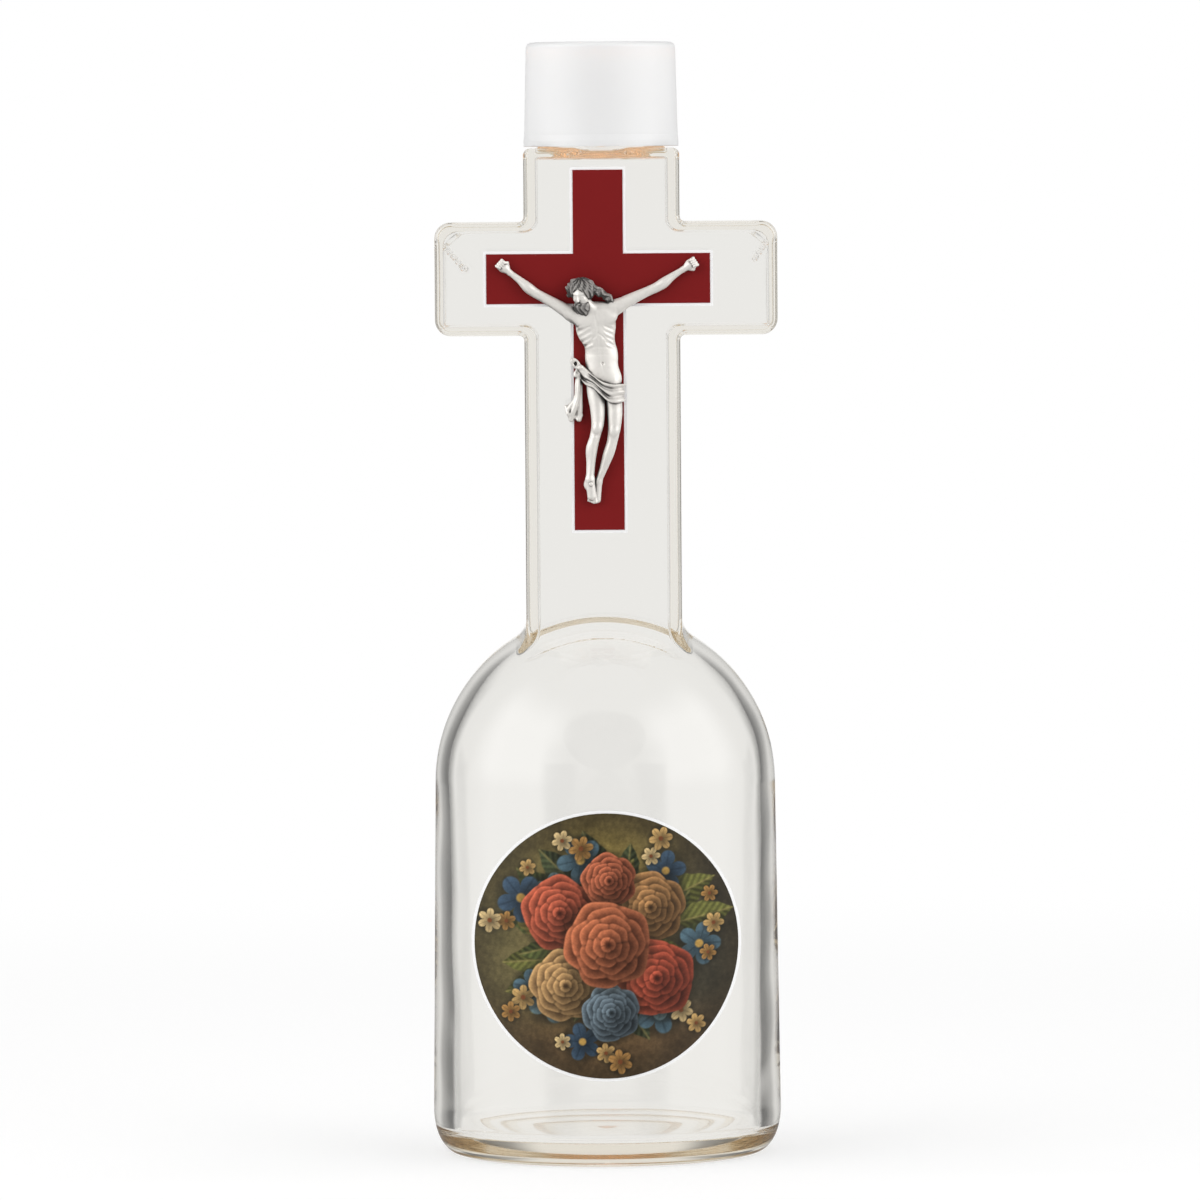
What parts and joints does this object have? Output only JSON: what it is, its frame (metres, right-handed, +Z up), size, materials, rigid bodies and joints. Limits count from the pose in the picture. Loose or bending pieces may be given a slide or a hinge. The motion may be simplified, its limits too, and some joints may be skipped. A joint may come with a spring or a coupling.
{
  "type": "holy water bottle",
  "caption": "Clear glass holy water bottle with a round domed body, a flat hollow neck in the form of a cross with a relief figure, a round medallion and a white screw cap.",
  "frame": {"origin": "middle of the base, on the surface that the bottle stands on", "axes": "+Z up along the bottle's axis, -Y out of the front with the figure and the medallion, +X to the right as seen from the front"},
  "size_m": [0.0598, 0.0599, 0.1905],
  "materials": {
    "clear_glass": "polished",
    "cap_plastic": "satin",
    "liner_foam": "matte",
    "white_film": "satin",
    "red_print": "satin",
    "silver_metal": "satin",
    "medallion_colours": "satin"
  },
  "bodies": {
    "bottle": {"glass_bottle": "clear_glass", "cross_label_backing": "white_film", "cross_label_print": "red_print", "corpus": "silver_metal", "medallion_backing": "white_film", "medallion_print": "medallion_colours"},
    "liner": {"cap_liner": "liner_foam"},
    "cap": {"screw_cap": "cap_plastic"}
  },
  "joints": [
    {"name": "cap_lift", "type": "slide", "parent": "bottle", "child": "liner", "axis": [0, 0, 1], "range_m": [0, 0.01985]},
    {"name": "cap_turn", "type": "hinge", "parent": "liner", "child": "cap", "pos_m": [0, 0, 0.18], "axis": [0, 0, 1], "range_deg": [0, 2250]}
  ],
  "couplings": [
    {"joint": "cap_lift", "follows": "cap_turn", "m_per_rad": 0.00050532}
  ]
}
